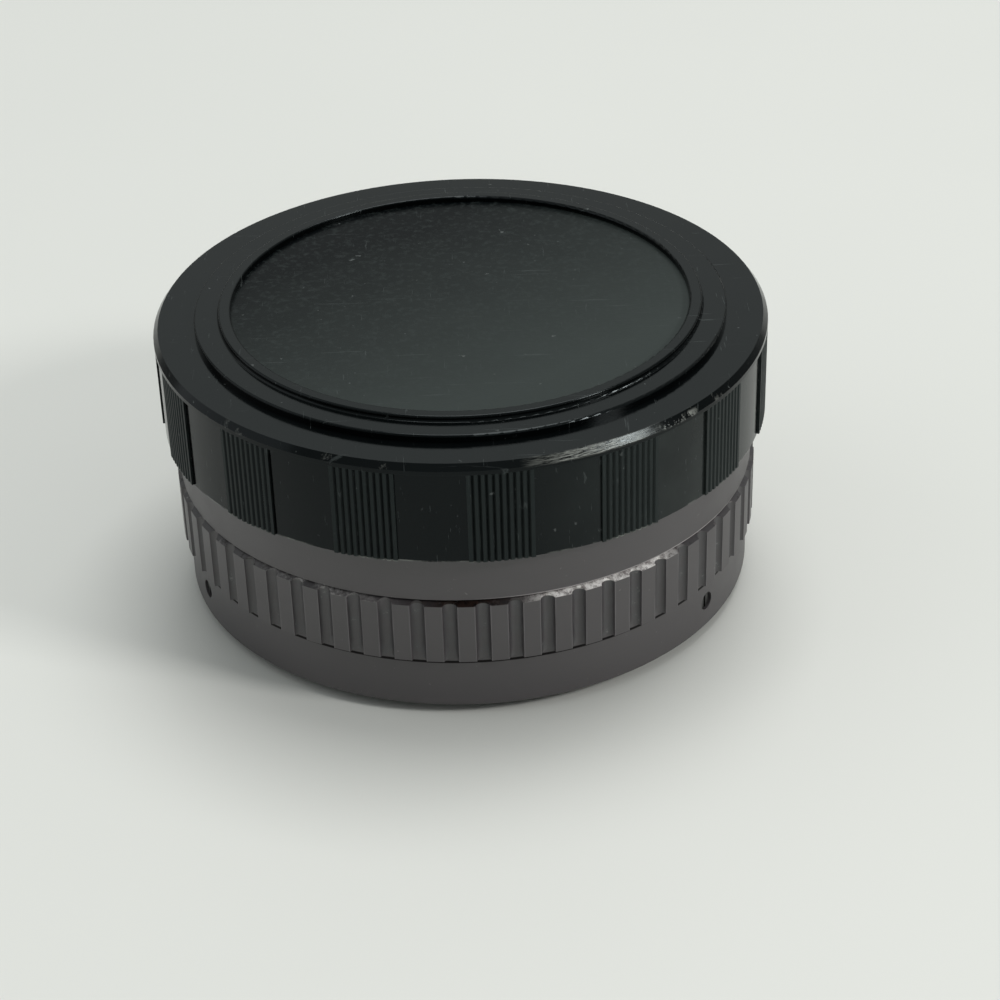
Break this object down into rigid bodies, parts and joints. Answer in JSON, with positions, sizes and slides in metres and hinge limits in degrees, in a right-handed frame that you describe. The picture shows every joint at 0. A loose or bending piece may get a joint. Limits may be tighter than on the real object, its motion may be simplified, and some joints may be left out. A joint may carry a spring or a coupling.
{
  "type": "camera teleconverter",
  "caption": "Camera teleconverter with a fluted locking ring, lens mounts at both ends, optics in an inner frame, sprung aperture couplings and a lift-off front cap.",
  "frame": {"origin": "centre of the rear barrel's standing face, on the optical axis", "axes": "+Z along the optical axis towards the lens and the front cap; -Y towards the picture's camera"},
  "size_m": [0.065, 0.065, 0.0322],
  "materials": {
    "black_anodised": "satin black anodised",
    "charcoal_anodised": "satin charcoal anodised",
    "red_paint": "gloss enamel fill",
    "bright_steel": "turned, satin chrome plated",
    "screw_steel": "plain steel",
    "spring_steel": "drawn wire",
    "lever_brass": "blackened brass, worn at the levers",
    "coated_glass": "polished, coated",
    "black_paint": "matt black paint",
    "black_screw": "blackened steel",
    "black_plastic": "satin black moulded plastic, edges worn pale"
  },
  "bodies": {
    "barrel_body": {"main_hub": "black_anodised", "outer_barrel": "charcoal_anodised", "front_index_dot": "red_paint", "front_mount_ring": "bright_steel", "front_mount_screws": "screw_steel", "rear_mount_ring": "bright_steel", "rear_locating_pin": "screw_steel", "rear_mount_screws": "screw_steel", "inner_frame": "black_anodised", "rear_signal_pin": "screw_steel", "rear_element": "coated_glass", "rear_spacer": "black_anodised", "doublet_rear_element": "coated_glass", "doublet_front_element": "coated_glass", "front_spacer": "black_anodised", "front_element": "coated_glass", "retaining_ring": "black_anodised", "coupling_retainer": "black_anodised", "retainer_clip": "screw_steel", "spring_anchor_pins": "screw_steel", "stop_down_spring": "spring_steel", "aperture_signal_spring": "spring_steel", "front_guide_plate": "black_paint", "guide_plate_screws": "black_screw", "lock_stop_pin": "screw_steel"},
    "locking_ring": {"lock_grip_ring": "charcoal_anodised", "breech_ring": "bright_steel", "ring_grub_screws": "black_screw", "lock_index_dot": "red_paint"},
    "stop_down_coupling": {"stop_down_ring": "lever_brass"},
    "aperture_coupling": {"aperture_signal_ring": "lever_brass"},
    "cap": {"front_cap": "black_plastic"}
  },
  "joints": [
    {"name": "locking_ring_turn", "type": "hinge", "parent": "barrel_body", "child": "locking_ring", "pos_m": [0, 0, 0.007], "axis": [0, 0, 1], "range_deg": [0, 55]},
    {"name": "stop_down_turn", "type": "hinge", "parent": "barrel_body", "child": "stop_down_coupling", "pos_m": [0, 0, 0.01], "axis": [0, 0, 1], "range_deg": [0, 22], "stiffness_Nm_per_rad": 0.01, "springref_deg": -5.73, "deforming": ["stop_down_spring"]},
    {"name": "aperture_signal_turn", "type": "hinge", "parent": "barrel_body", "child": "aperture_coupling", "pos_m": [0, 0, 0.01], "axis": [0, 0, 1], "range_deg": [0, 28], "stiffness_Nm_per_rad": 0.01, "springref_deg": -5.73, "deforming": ["aperture_signal_spring"]},
    {"name": "cap_lift", "type": "slide", "parent": "barrel_body", "child": "cap", "axis": [0, 0, 1], "range_m": [0, 0.025]}
  ]
}
